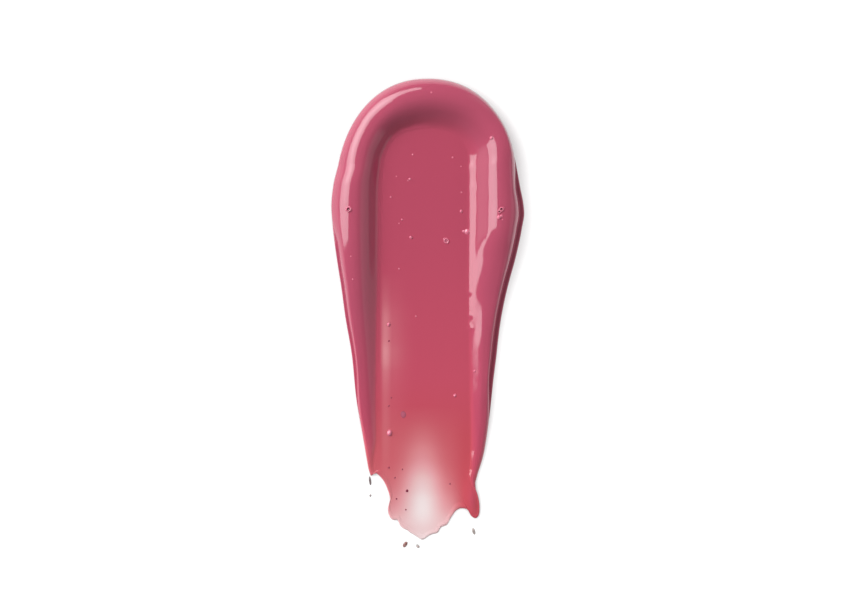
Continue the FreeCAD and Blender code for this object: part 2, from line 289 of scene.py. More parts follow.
# Where the wiped middle of the film lies, as a share of half the width, how wide it is where the
# film is thinner and where it is clearer, and the share of white at which it is wiped thinnest.
WIPED_X = -0.06
WIPED_WIDTH = 0.20
CLEAR_WIDTH = 0.18
WIPED_FULL = 0.56
# How much thinner the film is there, and the most of the white that shows through anywhere.
WIPED_THINNING = 0.5
CLEAREST = 0.9
# The lobe at the tail's right: its spread in X and Y as shares of half its CAD node's size, and its
# rise above the film as a share of the node's height.
HORN_SPREAD = np.array([0.8, 1.1, 1.0])
HORN_RISE = 0.5
# The groove has a narrow and a fainter wide part: X and width of each, and how faint the wide is.
GROOVE_NARROW = (-0.444, 0.062)
GROOVE_WIDE = (-0.385, 0.13)
GROOVE_FAINT = 0.32
# Shares of half the width between which the groove begins and the wiped part ends, and heights
# over the film, in millimetres, between which the gloss hides the white.
GROOVE_START = (-0.505, -0.460)
WIPED_END = (0.22, 0.40)
HIDING = (0.04, 0.30)


def bell(value: np.ndarray, middle: float, width: float) -> np.ndarray:
    """A bell curve that is 1 at its middle."""
    return np.exp(-(((value - middle) / width) ** 2))


def hermite_table(table: tuple[tuple[float, float], ...], at: np.ndarray) -> np.ndarray:
    """A smooth curve through a table of (place, value) pairs."""
    return hermite(*np.array(table).T, at)


@dataclass
class Stroke:
    """The smear's plan and heights, worked out from the frame's boxes. Lengths in millimetres.

    Attributes:
        left_share: height of the left bead's crest, as a share of the right bead's CAD node.
        right_share: height of the right bead's crest, likewise.
        middle_x: X of the spine that the rays across the smear run to.
        fan_y: Y of the spine's lower end, which the rays of the torn tail fan out from.
        bow_share: how far above the widest line the spine ends, as a share of the head's reach.
        cap_bend: how sharply a bead's crown bends, in slope for each millimetre.
        flank_rings: rings of points from the edge to the crest.
        slope_rings: rings from the crest to the foot.
        film_rings: rings from the foot to the spine.
        head_rays: rays round the head.
        side_rays: rays on each side.
        tail_rays: rays round the torn tail.
    """

    left_share: float = 0.70
    right_share: float = 0.92
    middle_x: float = -0.25
    fan_y: float = -10.2
    bow_share: float = 0.318
    cap_bend: float = 0.47
    flank_rings: int = 34
    slope_rings: int = 46
    film_rings: int = 28
    head_rays: int = 210
    side_rays: int = 190
    tail_rays: int = 250

    def __post_init__(self) -> None:
        """Works out the driving lengths from the boxes of the CAD nodes."""
        head_low, head_high = span("head_bead")
        self.widest_y = float(head_low[1])
        self.half = float(head_high[0] - head_low[0]) / 2
        self.up = float(head_high[1]) - self.widest_y
        self.down = self.widest_y - float(span("tail_film")[0][1])
        self.bow_y = self.widest_y + self.bow_share * self.up
        self.film_top = float(span("swept_film")[1][2])
        bead_top = float(span("right_bead")[1][2])
        self.left_crest = self.left_share * bead_top
        self.right_crest = self.right_share * bead_top
        self.horn_box = span("right_horn")

    def along(self, y: np.ndarray) -> np.ndarray:
        """Share of the way from the widest line to the torn tip."""
        return (self.widest_y - y) / self.down

    def side(self, stations: tuple[Station, ...], name: str, y: np.ndarray) -> np.ndarray:
        """One of a side's measures at each Y, as a smooth curve through its stations."""
        return hermite_table(tuple((s.along, getattr(s, name)) for s in stations), self.along(y))

    def bow(self, name: str, turn: np.ndarray) -> np.ndarray:
        """One of the bow's measures in each direction, as a smooth curve."""
        table = tuple((math.radians(s.turn), getattr(s, name)) for s in BOW_STATIONS)
        return hermite_table(table, turn)

    def wiped(self, x: np.ndarray, y: np.ndarray) -> np.ndarray:
        """How far the film is wiped away: 0 above the torn tail, and about 1 in its middle."""
        share = hermite_table(WIPED_MIDDLE, self.along(y)) / WIPED_FULL
        return share * bell(x / self.half, WIPED_X, WIPED_WIDTH)

    def film(self, x: np.ndarray, y: np.ndarray) -> np.ndarray:
        """Thickness of the swept film: it thins down the stroke and fades in the torn tail."""
        base = self.film_top * hermite_table(FILM_THICKNESS, self.along(y))
        low, high = self.horn_box
        middle, size = (low + high) / 2, (high - low) / 2 * HORN_SPREAD
        horn = bell(x, middle[0], size[0]) * bell(y, middle[1], size[1])
        return base * (1 - WIPED_THINNING * self.wiped(x, y)) + HORN_RISE * high[2] * horn

    def show_through(self, x: np.ndarray, y: np.ndarray, height: np.ndarray) -> np.ndarray:
        """Share of the white below that shows through the gloss."""
        along, share_x = self.along(y), x / self.half
        middle = hermite_table(WIPED_MIDDLE, along) * bell(share_x, WIPED_X, CLEAR_WIDTH)
        sides = hermite_table(WIPED_SIDES, along) * (1 - smooth(*WIPED_END, share_x))
        narrow, wide = bell(share_x, *GROOVE_NARROW), GROOVE_FAINT * bell(share_x, *GROOVE_WIDE)
        groove = hermite_table(GROOVE, along) * np.maximum(narrow, wide)
        groove = groove * smooth(*GROOVE_START, share_x)
        thick = smooth(*HIDING, height - self.film(x, y))
        return np.clip((middle + sides + groove) * (1 - thick), 0.0, CLEAREST)


def hermite(knots: np.ndarray, values: np.ndarray, at: np.ndarray) -> np.ndarray:
    """A smooth curve through the values that never overshoots them.

    Args:
        knots: where the values stand, rising.
        values: the value at each knot.
        at: where the curve is wanted.

    Returns:
        The curve's value at each place.
    """
    step = np.diff(knots)
    rate = np.diff(values) / step
    slope = np.zeros_like(values)
    inner = rate[:-1] * rate[1:] > 0
    mean = 2 * rate[:-1] * rate[1:] / np.where(inner, rate[:-1] + rate[1:], 1.0)
    slope[1:-1] = np.where(inner, mean, 0.0)
    slope[0], slope[-1] = rate[0], rate[-1]
    at = np.clip(at, knots[0], knots[-1])
    i = np.clip(np.searchsorted(knots, at, side="right") - 1, 0, len(step) - 1)
    t = (at - knots[i]) / step[i]
    return (
        (2 * t**3 - 3 * t**2 + 1) * values[i]
        + (t**3 - 2 * t**2 + t) * step[i] * slope[i]
        + (3 * t**2 - 2 * t**3) * values[i + 1]
        + (t**3 - t**2) * step[i] * slope[i + 1]
    )


def through(points: np.ndarray, per_span: int = 12) -> np.ndarray:
    """A smooth open curve through points (Catmull-Rom), sampled evenly in each span.

    Args:
        points: one row for each point.
        per_span: samples from a point to the next.

    Returns:
        The curve's points, one row each.
    """
    padded = np.vstack([2 * points[0] - points[1], points, 2 * points[-1] - points[-2]])
    t = np.linspace(0, 1, per_span, endpoint=False)[:, None]
    spans = []
    for before, start, end, after in zip(padded, padded[1:], padded[2:], padded[3:]):
        spans.append(
            0.5 * (
                2 * start
                + (end - before) * t
                + (2 * before - 5 * start + 4 * end - after) * t**2
                + (3 * start - before - 3 * end + after) * t**3
            )
        )
    return np.vstack([*spans, points[-1:]])


@dataclass
class Rays:
    """Lines from the smear's edge to its spine, once round it, with what each crosses.

    All lengths are in millimetres, one value for each ray.

    Attributes:
        edge: X and Y where the ray starts, on the outline.
        spine: which point of the spine it ends at.
        end: X and Y of that point.
        crest: distance from the edge to the bead's crest.
        foot: distance from the edge to the bead's foot.
        height: height of the crest.
    """

    edge: np.ndarray
    spine: np.ndarray
    end: np.ndarray
    crest: np.ndarray
    foot: np.ndarray
    height: np.ndarray


# A thin skirt of gloss stands out from the foot of the tall outer walls, in millimetres. On the left
# it has this share of its size on the right.
SKIRT_WIDTH = 0.42
SKIRT_HEIGHT = 0.20
SKIRT_ROUND = 0.16
SKIRT_LEFT = 0.62
# It stands only where a wall faces well to the side, and it begins on the left, begins on the right
# and ends on both between these shares of the way down.
SKIRT_FACING = (0.3, 0.8)
SKIRT_FROM_LEFT = (0.04, 0.12)
SKIRT_FROM_RIGHT = (-0.16, -0.03)
SKIRT_END = (0.48, 0.66)

# The least and the most that a crown falls from its crest to the edge, as shares of its height.
CROWN_FALL = (0.05, 0.68)

# Width of the rounded wall at the edge as a share of the flank's: on a wide flank, and how much
# more on a narrow one. Then the flanks that count as narrow and wide, in millimetres.
WALL_SHARE = 0.36
WALL_MORE = 0.40
FLANK_WIDTHS = (0.25, 0.9)

# How far the torn lip's crest and foot lie from the edge in millimetres, and its height as a share
# of the film's and in millimetres over that.
LIP = (("crest", 0.20), ("foot", 0.60))
LIP_RISE = (1.1, 0.02)

# Shares of the way down between which each bead gives way to the torn lip.
TORN_LEFT = (0.70, 0.81)
TORN_RIGHT = (0.76, 0.93)

# The inner slopes, on the left, on the right, and on the right where it is steepest low down: where
# along the slope it is fully steep, the power of its rise to that, and where it eases and ends.
SLOPES = ((0.55, 0.87, 0.74, 0.95), (0.45, 0.90, 0.68, 1.15), (0.70, 1.2, 0.78, 1.08))

# The last of them holds between the first pair and the second pair of these shares of the way down.
LATE_FROM = (0.06, 0.22)
LATE_TO = (0.23, 0.40)

# The step that the spreader's corner cut at the left slope's foot: its steepness, and where along
# the slope it rises and falls.
CORNER_STEP = 0.30
CORNER_FROM = (0.93, 0.965)
CORNER_TO = (0.985, 1.01)

# How finely the inner slope and the head's outline are followed, and how many rings the flat base
# has between the edge and the spine.
SLOPE_SAMPLES = 801
OUTLINE_SAMPLES = 4001
BASE_RINGS = 8

# Depth that colours a bead's flank, at least, as a share of its crest's height.
FLANK_DEPTH = 0.8

# How far round from the sides, in radians, the head's measures are drawn over to meet theirs.
MEET_WIDTH = 0.25

# Small lumps under the skin that make the highlights' edges ragged: X, Y, rise and spread in
# millimetres.
BUMPS = (
    (3.80, 1.91, 0.025, 0.16), (3.86, -0.23, 0.02, 0.15), (3.76, -1.46, 0.03, 0.20),
    (4.20, 11.60, 0.02, 0.20), (4.02, 13.40, 0.02, 0.25),
)


class GlossMass:
    """The seamless mass of gloss: its skin follows the outline, the beads and the film."""

    def __init__(self, stroke: Stroke) -> None:
        """Keeps the stroke's measures.

        Args:
            stroke: the smear's plan and heights.
        """
        self.stroke = stroke

    def side_rays(self, stations: tuple[Station, ...], top: float, falling: bool) -> Rays:
        """The level rays of one side.

        Args:
            stations: that side's cross-sections.
            top: height of its tallest crest.
            falling: True if the rays run from the head to the tail.

        Returns:
            The side's rays, in order.
        """
        s = self.stroke
        y = np.linspace(s.fan_y, s.bow_y, s.side_rays)
        spine = np.arange(s.side_rays)
        if falling:
            y, spine = y[::-1], spine[::-1]
        outer, crest, foot = (
            s.side(stations, name, y) * s.half for name in ("outer", "crest", "foot")
        )
        return Rays(
            edge=np.column_stack([outer, y]),
            spine=spine,
            end=np.column_stack([np.full_like(y, s.middle_x), y]),
            crest=np.abs(outer - crest),
            foot=np.abs(outer - foot),
            height=s.side(stations, "rise", y) * top,
        )

    def head_rays(self, right: Rays, left: Rays) -> Rays:
        """The fan of rays round the head, which meets the two sides at the spine's top."""
        s = self.stroke
        half_width, reach, power = HEAD_OUTLINE
        walk = np.linspace(0, math.pi, OUTLINE_SAMPLES)
        x = half_width * s.half * np.sign(np.cos(walk)) * np.abs(np.cos(walk)) ** (2 / power)
        y = s.widest_y + reach * s.up * np.sin(walk) ** (2 / power)
        angle = np.arctan2(y - s.bow_y, x - s.middle_x)
        radius = np.hypot(x - s.middle_x, y - s.bow_y)
        above = angle > -0.2
        turn = np.linspace(0, math.pi, s.head_rays + 2)[1:-1]

        def outline(at: np.ndarray) -> np.ndarray:
            """Distance from the spine's top to the outline in each direction."""
            return np.interp(at, angle[above], radius[above])

        def measure(name: str, at: np.ndarray) -> np.ndarray:
            """One of the bow's measures in millimetres, before it is made to meet the sides."""
            if name == "outer":
                return outline(at)
            if name == "height":
                return s.bow("rise", at) * s.right_crest
            return outline(at) - s.bow(name, at) * s.half

        found = {}
        for name in ("outer", "crest", "foot", "height"):
            value = measure(name, turn)
            for rays, ray, away in ((right, -1, turn), (left, 0, math.pi - turn)):
                meet = (
                    abs(rays.edge[ray, 0] - s.middle_x) if name == "outer"
                    else getattr(rays, name)[ray]
                )
                own = measure(name, np.array([0.0 if ray else math.pi]))
                value = value + (meet - own) * bell(away, 0.0, MEET_WIDTH)
            found[name] = value
        middle = np.array([s.middle_x, s.bow_y])
        toward = np.column_stack([np.cos(turn), np.sin(turn)])
        return Rays(
            edge=middle + toward * found["outer"][:, None],
            spine=np.full(s.head_rays, s.side_rays - 1),
            end=np.tile(middle, (s.head_rays, 1)),
            crest=found["crest"],
            foot=found["foot"],
            height=found["height"],
        )

    def tail_rays(self, right: Rays, left: Rays) -> Rays:
        """The fan of rays round the torn tail, from the left side to the right side."""
        s = self.stroke
        torn = np.array(TORN_EDGE) * [s.half, -s.down] + [0.0, s.widest_y]
        pieces = []
        for stations, flip in ((LEFT_STATIONS, False), (RIGHT_STATIONS, True)):
            last = s.widest_y - stations[-1].along * s.down
            y = np.linspace(s.fan_y, last, 24)
            side = np.column_stack([s.side(stations, "outer", y) * s.half, y])
            pieces.append(side[::-1] if flip else side)
        outline = np.vstack([pieces[0][:-1], through(torn), pieces[1][1:]])
        middle = np.array([s.middle_x, s.fan_y])
        length = np.concatenate([[0.0], np.cumsum(np.hypot(*np.diff(outline, axis=0).T))])
        at = np.linspace(0, length[-1], s.tail_rays + 2)[1:-1]
        edge = np.column_stack([np.interp(at, length, outline[:, i]) for i in (0, 1)])
        reach = middle - edge
        level = np.maximum(np.abs(reach[:, 0]) / np.hypot(*reach.T), 0.6)
        on_left = at < length[-1] / 2
        along = s.along(edge[:, 1])
        torn_share = np.where(on_left, smooth(*TORN_LEFT, along), smooth(*TORN_RIGHT, along))

        def bead(name: str) -> np.ndarray:
            """One of the measures of the bead on the ray's side, level with the ray's start."""
            tables = (LEFT_STATIONS, RIGHT_STATIONS)
            sides = (s.side(stations, name, edge[:, 1]) for stations in tables)
            return np.where(on_left, *sides)

        near = {}
        for name, lip in LIP:
            ends = np.abs(bead("outer") - bead(name)) * s.half / level
            near[name] = ends + (lip - ends) * torn_share
        film = s.film(edge[:, 0], edge[:, 1])
        ends = bead("rise") * np.where(on_left, s.left_crest, s.right_crest)
        return Rays(
            edge=edge,
            spine=np.zeros(s.tail_rays, dtype=int),
            end=np.tile(middle, (s.tail_rays, 1)),
            crest=near["crest"],
            foot=near["foot"],
            height=ends + (film * LIP_RISE[0] + LIP_RISE[1] - ends) * torn_share,
        )

    def rays(self) -> Rays:
        """All the rays, counterclockwise from the right side's lower end."""
        s = self.stroke
        right = self.side_rays(RIGHT_STATIONS, s.right_crest, falling=False)
        left = self.side_rays(LEFT_STATIONS, s.left_crest, falling=True)
        head = self.head_rays(right, left)
        tail = self.tail_rays(right, left)
        parts = (right, head, left, tail)
        return Rays(*(
            np.concatenate([getattr(part, name) for part in parts])
            for name in ("edge", "spine", "end", "crest", "foot", "height")
        ))

    @staticmethod
    def slope_fall(share: np.ndarray, right: np.ndarray, late: np.ndarray) -> np.ndarray:
        """How far a bead has fallen from its crest (0) to its foot (1).

        The slope steepens from the crest, runs straight and eases out at the foot. On the right it
        ends in a crease. On the left it ends in the small step that the spreader's corner cut.

        Args:
            share: how far along the slope, from crest to foot.
            right: 1 on the right bead and 0 on the left.
            late: 1 where the right bead's slope is steepest close to its foot.

        Returns:
            The share of the fall at each place.
        """
        walk = np.linspace(0, 1, SLOPE_SAMPLES)
        rates = [
            np.minimum(walk / steep, 1.0) ** power * (1 - smooth(eases, ends, walk))
            for steep, power, eases, ends in SLOPES
        ]
        rates[0] += CORNER_STEP * smooth(*CORNER_FROM, walk) * (1 - smooth(*CORNER_TO, walk))
        falls = []
        for rate in rates:
            total = np.concatenate([[0.0], np.cumsum((rate[1:] + rate[:-1]) / 2)])
            falls.append(np.interp(share, walk, total / total[-1]))
        return falls[0] * (1 - right) + right * (falls[1] * (1 - late) + falls[2] * late)

    def flank(
        self,
        away: np.ndarray,
        crest: np.ndarray,
        top: np.ndarray,
        inward: np.ndarray,
        down: np.ndarray,
    ) -> np.ndarray:
        """A bead's outer side: a crown that bends evenly, a rounded wall and a skirt at its foot.

        Args:
            away: distance from the edge.
            crest: distance from the edge to the crest.
            top: height of the crest.
            inward: X of the ray's direction, 1 on the left and -1 on the right.
            down: share of the way from the widest line to the tip.

        Returns:
            The height at each place, which holds as far in as the crest.
        """
        left = smooth(*SKIRT_FACING, inward) * smooth(*SKIRT_FROM_LEFT, down)
        right = smooth(*SKIRT_FACING, -inward) * smooth(*SKIRT_FROM_RIGHT, down)
        skirt = (SKIRT_LEFT * left + right) * (1 - smooth(*SKIRT_END, down))
        width = SKIRT_WIDTH * skirt
        bare = crest - width
        into = np.clip(1 - (away - width) / bare, 0, 1)
        fall = np.clip(0.5 * self.stroke.cap_bend * bare**2 / top, *CROWN_FALL)
        crown = top * (1 - fall * into**2)
        wall = bare * (WALL_SHARE + WALL_MORE * (1 - smooth(*FLANK_WIDTHS, crest)))
        lip = SKIRT_HEIGHT * skirt * quarter_round(away / SKIRT_ROUND)
        rim = np.hypot(crown * quarter_round((away - width) / wall), lip)
        return np.minimum(np.where(away > width, rim, lip), np.maximum(top, lip))

    def heights(self, rays: Rays) -> tuple[np.ndarray, np.ndarray, np.ndarray]:
        """Places the skin's points along every ray.

        Args:
            rays: the lines across the smear.

        Returns:
            X, Y and height, with a row for each ray and a column for each ring.
        """
        s = self.stroke
        reach = np.hypot(*(rays.end - rays.edge).T)[:, None]
        turn = np.linspace(0, math.pi / 2, s.flank_rings + 1)
        slope = np.linspace(0, 1, s.slope_rings + 1)[1:]
        inner = np.linspace(0, 1, s.film_rings + 1)[1:-1]
        crest, foot = rays.crest[:, None], rays.foot[:, None]
        away = np.hstack([
            crest * (1 - np.cos(turn)),
            crest + (foot - crest) * slope,
            foot + (reach - foot) * inner,
        ])
        heading = (rays.end - rays.edge) / reach
        x = rays.edge[:, :1] + heading[:, :1] * away
        y = rays.edge[:, 1:] + heading[:, 1:] * away
        inward, down = heading[:, :1], s.along(rays.edge[:, 1:])
        film = s.film(x, y)
        top = np.maximum(rays.height[:, None], film * 1.02)
        share = np.clip((away - crest) / (foot - crest), 0, 1)
        right = smooth(-0.35, 0.35, -inward)
        late = smooth(*LATE_FROM, down) * (1 - smooth(*LATE_TO, down))
        body = film + (top - film) * (1 - self.slope_fall(share, right, late))
        z = np.where(away < crest, self.flank(away, crest, top, inward, down), body)
        for bump_x, bump_y, rise, spread in BUMPS:
            far = ((x - bump_x) ** 2 + (y - bump_y) ** 2) / spread**2
            z = z + rise * np.exp(-far / 2)
        return x, y, z

    def build(self, finish: bpy.types.Material) -> bpy.types.Object:
        """Makes the closed mesh of the gloss: its skin from the edge to the spine, and its base.

        Args:
            finish: the gloss's material.

        Returns:
            The finished piece.
        """
        s = self.stroke
        rays = self.rays()
        x, y, z = self.heights(rays)
        count, rings = x.shape
        spine_y = np.linspace(s.fan_y, s.bow_y, s.side_rays)
        spine_x = np.full_like(spine_y, s.middle_x)
        spine_z = s.film(spine_x, spine_y)
        base_rings = np.linspace(0, rings - 1, BASE_RINGS + 1).astype(int)[1:]
        columns = len(base_rings)
        base_x, base_y = x[:, base_rings].ravel(), y[:, base_rings].ravel()
        points = np.vstack([
            np.column_stack([x.ravel(), y.ravel(), z.ravel()]),
            np.column_stack([spine_x, spine_y, spine_z]),
            np.column_stack([base_x, base_y, np.zeros_like(base_x)]),
            np.column_stack([spine_x, spine_y, np.zeros_like(spine_y)]),
        ])
        first_spine = count * rings
        first_base = first_spine + len(spine_y)
        first_base_spine = first_base + len(base_x)
        after = np.roll(np.arange(count), -1)
        faces = []
        for ray in range(count):
            here, there = (at * rings + np.arange(rings) for at in (ray, after[ray]))
            faces += list(zip(here[:-1], there[:-1], there[1:], here[1:]))
            near, far = (first_spine + rays.spine[at] for at in (ray, after[ray]))
            faces.append((here[-1], there[-1], far, near))
        for ray in range(count):
            here, there = (
                [at * rings, *range(first_base + at * columns, first_base + (at + 1) * columns)]
                for at in (ray, after[ray])
            )
            faces += list(zip(here[:-1], here[1:], there[1:], there[:-1]))
            near, far = (first_base_spine + rays.spine[at] for at in (ray, after[ray]))
            faces.append((here[-1], near, far, there[-1]))
        mesh = bpy.data.meshes.new("gloss_smear")
        mesh.from_pydata((points * MM).tolist(), [], [corners(*face) for face in faces])
        mesh.validate()
        # A flank counts as nearly as deep as its crest, since light goes down through the bead.
        depth = np.where(
            np.arange(rings) < s.flank_rings,
            np.maximum(z, FLANK_DEPTH * rays.height[:, None]),
            z,
        )
        depths = np.concatenate([depth.ravel(), spine_z, depth[:, base_rings].ravel(), spine_z])
        clear = s.show_through(points[:, 0], points[:, 1], depths)
        for name, values in (("gloss_depth", depths), ("white_through", clear)):
            attribute = mesh.attributes.new(name, "FLOAT", "POINT")
            attribute.data.foreach_set("value", values.astype(np.float32))
        flat = points[:, 2] <= 0
        for polygon in mesh.polygons:
            polygon.use_smooth = not all(flat[v] for v in polygon.vertices)
        mesh.materials.append(finish)
        return add_piece(mesh, "thick_gloss", *ZONES)


# --------------------------------------------------------------------------- finishes


@dataclass(frozen=True)
class WetGloss:
    """Lip gloss: pigment in a clear, sticky oil, with a mirror-smooth wet surface.

    A thick layer is a deep rose. A thin one over white turns coral, then lets the white through.

    Attributes:
        by_depth: colours at depths in millimetres.
        deepest_mm: depth at the end of the scale of colours.
        thin: colour of a film that starts to let the white through.
        thin_share: share of white at which the film has fully turned to that colour.
        wave_mm: size of the faint waves in the skin.
        wave_height_mm: their height.
        wave_drawn_out: their width as a share of their length along the stroke.
        white_below: colour of the surface as it shows through.
        ior: how strongly the oil bends light.
        roughness: how dull the skin is.
    """

    by_depth: tuple[tuple[float, str], ...] = (
        (0.15, "#BE4854"), (0.27, "#B84754"), (0.36, "#B7475C"), (0.53, "#AD445C"),
        (1.20, "#A8475F"),
    )
    deepest_mm: float = 1.6
    thin: str = "#CF5866"
    thin_share: float = 0.3
    wave_mm: float = 1.1
    wave_height_mm: float = 0.010
    wave_drawn_out: float = 0.4
    white_below: str = "#E6E4E3"
    ior: float = 1.48
    roughness: float = 0.04

    def make(self) -> bpy.types.Material:
        """Builds the material."""
        material, tree, shader = new_material("wet_lip_gloss")
        clear = told(tree, "white_through")
        share = compute(tree, "DIVIDE", told(tree, "gloss_depth"), self.deepest_mm)
        ramp = add_node(tree, "ShaderNodeValToRGB", {"Fac": share})
        stops = ramp.color_ramp.elements
        while len(stops) < len(self.by_depth):
            stops.new(0.5)
        for stop, (at, colour) in zip(stops, self.by_depth):
            stop.position, stop.color = at / self.deepest_mm, linear(colour)
        thinning = add_node(
            tree, "ShaderNodeMapRange", {"Value": clear, "From Max": self.thin_share}
        ).outputs[0]
        warm = blend(tree, thinning, ramp.outputs["Color"], linear(self.thin))
        place = add_node(tree, "ShaderNodeTexCoord").outputs["Object"]
        drawn = add_node(
            tree, "ShaderNodeVectorMath",
            {0: place, 1: (1 / MM, self.wave_drawn_out / MM, 1 / MM)}, operation="MULTIPLY",
        )
        waves = add_node(
            tree, "ShaderNodeTexNoise",
            {"Vector": drawn.outputs[0], "Scale": 1 / self.wave_mm, "Detail": 2.0},
        )
        bump = add_node(
            tree, "ShaderNodeBump",
            {"Height": waves.outputs["Fac"], "Distance": self.wave_height_mm * MM,
             "Strength": 1.0},
        )
        fill(shader, {
            "Normal": bump.outputs[0],
            "Base Color": blend(tree, clear, warm, linear(self.white_below)),
            "Roughness": self.roughness,
            "IOR": self.ior,
        })
        return material


# --------------------------------------------------------------------------- bubbles and flecks


class Look(enum.Enum):
    """How an air bubble meets the skin: a lathe profile from its centre out to its rim and under.

    Each row is the distance from the centre and the height above the skin, as shares of the
    bubble's radius, and its share of painted shade there: most in open holes and pits, less in a
    ring's middle, a sunk bubble's dip and a dome's rim crease.
    """

    DOME = (
        (0.00, 0.62, 0.0), (0.22, 0.60, 0.0), (0.44, 0.53, 0.0), (0.64, 0.42, 0.0),
        (0.80, 0.28, 0.0), (0.92, 0.13, 0.1), (1.00, -0.02, 0.3), (1.00, -0.35, 0.3),
        (0.00, -0.35, 0.3),
    )
    CRATER = (
        (0.00, 0.06, 1.0), (0.30, 0.07, 1.0), (0.42, 0.16, 0.9), (0.52, 0.36, 0.3),
        (0.64, 0.48, 0.0), (0.78, 0.44, 0.0), (0.90, 0.26, 0.0), (1.00, 0.00, 0.0),
        (1.00, -0.40, 0.0), (0.00, -0.40, 1.0),
    )
    RING = (
        (0.00, 0.10, 0.4), (0.40, 0.08, 0.5), (0.58, 0.14, 0.3), (0.70, 0.28, 0.0),
        (0.80, 0.30, 0.0), (0.90, 0.20, 0.0), (1.00, 0.00, 0.2), (1.00, -0.30, 0.2),
        (0.00, -0.30, 0.4),
    )
    LOW = (
        (0.00, 0.30, 0.0), (0.25, 0.28, 0.0), (0.50, 0.20, 0.0), (0.72, 0.10, 0.0),
        (0.88, 0.03, 0.0), (1.00, -0.02, 0.0), (1.00, -0.25, 0.0), (0.00, -0.25, 0.0),
    )
    SUNK = (
        (0.00, 0.10, 0.52), (0.45, 0.09, 0.54), (0.75, 0.07, 0.60), (0.92, 0.03, 0.66),
        (1.00, -0.02, 0.66), (1.00, -0.25, 0.66), (0.00, -0.25, 0.52),
    )
    PIT = (
        (0.00, 0.10, 1.0), (0.40, 0.12, 1.0), (0.62, 0.20, 1.0), (0.80, 0.20, 0.7),
        (0.92, 0.10, 0.5), (1.00, -0.02, 0.5), (1.00, -0.30, 1.0), (0.00, -0.30, 1.0),
    )


@dataclass(frozen=True)
class Bubble:
    """One air bubble that can be told apart.

    Attributes:
        node: the CAD node whose place and size it takes.
        look: how it meets the skin.
        grow: its radius as a share of the node's.
        stretch: its length along the stroke as a share of its width.
        cells: centres and radii of its cells as shares of its radius, where it is a cluster.
    """

    node: str
    look: Look
    grow: float = 1.0
    stretch: float = 1.0
    cells: tuple[tuple[float, float, float], ...] = ((0.0, 0.0, 1.0),)


BUBBLES = (
    Bubble("bubble_left_crest", Look.CRATER, 1.35),
    Bubble(
        "bubble_right_crest_upper", Look.CRATER, 1.35,
        cells=((0.05, 0.30, 0.72), (-0.50, -0.30, 0.60), (0.62, 0.72, 0.30)),
    ),
    Bubble(
        "bubble_right_crest_lower", Look.DOME, 1.35,
        cells=((-0.25, 0.05, 0.74), (0.58, 0.48, 0.50), (0.95, -0.70, 0.22)),
    ),
    Bubble("bubble_right_shoulder", Look.DOME, 1.4),
    Bubble(
        "bubble_sweep_ring", Look.RING, 1.25, 1.15,
        cells=((0.10, 0.0, 0.90), (-0.55, 0.55, 0.45)),
    ),
    Bubble("bubble_sweep_centre", Look.DOME, 1.15),
    Bubble(
        "bubble_sweep_upper_left", Look.DOME, 1.15,
        cells=((0.35, 0.35, 0.68), (-0.75, -0.45, 0.45), (-0.2, 0.75, 0.30)),
    ),
    Bubble("bubble_sweep_right", Look.DOME, 1.0, 1.3),
    Bubble(
        "bubble_slope_foot", Look.LOW, 2.2, 0.8,
        cells=((0.10, -0.05, 0.80), (-0.75, 0.10, 0.42)),
    ),
    Bubble("bubble_left_foot", Look.DOME, 1.05),
    Bubble("bubble_lower_left", Look.DOME, 1.0, 1.15),
    Bubble("bubble_lower_oval", Look.SUNK, 1.35, 1.4),
    Bubble("bubble_lower_right", Look.DOME, 1.0),
    Bubble("bubble_right_slope", Look.DOME, 0.9),
    Bubble("bubble_tail", Look.PIT, 0.95, 1.1),
)


@dataclass(frozen=True)
class BubbleSkin:
    """The thin wet skin of a bubble: paler than the gloss where it bulges, painted shade where it is
    open.
    """

    name: str = "thin_bubble_skin"
    bulging: str = "#D4728A"
    # Colour of the painted shade in holes, pits, ring middles and rim creases.
    open: str = "#6C2438"
    roughness: float = 0.05
    ior: float = 1.48

    def make(self) -> bpy.types.Material:
        """Builds the material."""
        material, tree, shader = new_material(self.name)
        # Painted shade: the colour darkens towards the shade colour by each point's share.
        colour = blend(tree, told(tree, "painted_shade"), linear(self.bulging), linear(self.open))
        fill(shader, {"Base Color": colour, "Roughness": self.roughness, "IOR": self.ior})
        return material


class Skin:
    """The top of the gloss, for setting things down on it.

    Attributes:
        above_mm: height from which it is looked for.
    """

    above_mm: float = 20.0

    def __init__(self, mass: bpy.types.Object) -> None:
        """Keeps a search tree of the gloss.

        Args:
            mass: the finished mass of gloss.
        """
        vertices = [vertex.co for vertex in mass.data.vertices]
        self.tree = BVHTree.FromPolygons(vertices, [tuple(p.vertices) for p in mass.data.polygons])

    def under(self, x_mm: float, y_mm: float) -> tuple[Vector, Vector]:
        """The point of the skin below a place, in metres, and its normal."""
        found, normal, _, _ = self.tree.ray_cast(
            Vector((x_mm, y_mm, self.above_mm)) * MM, Vector((0.0, 0.0, -1.0))
        )
        if found is None:
            raise RuntimeError(f"no gloss under {x_mm:.2f}, {y_mm:.2f}")
        return found, normal


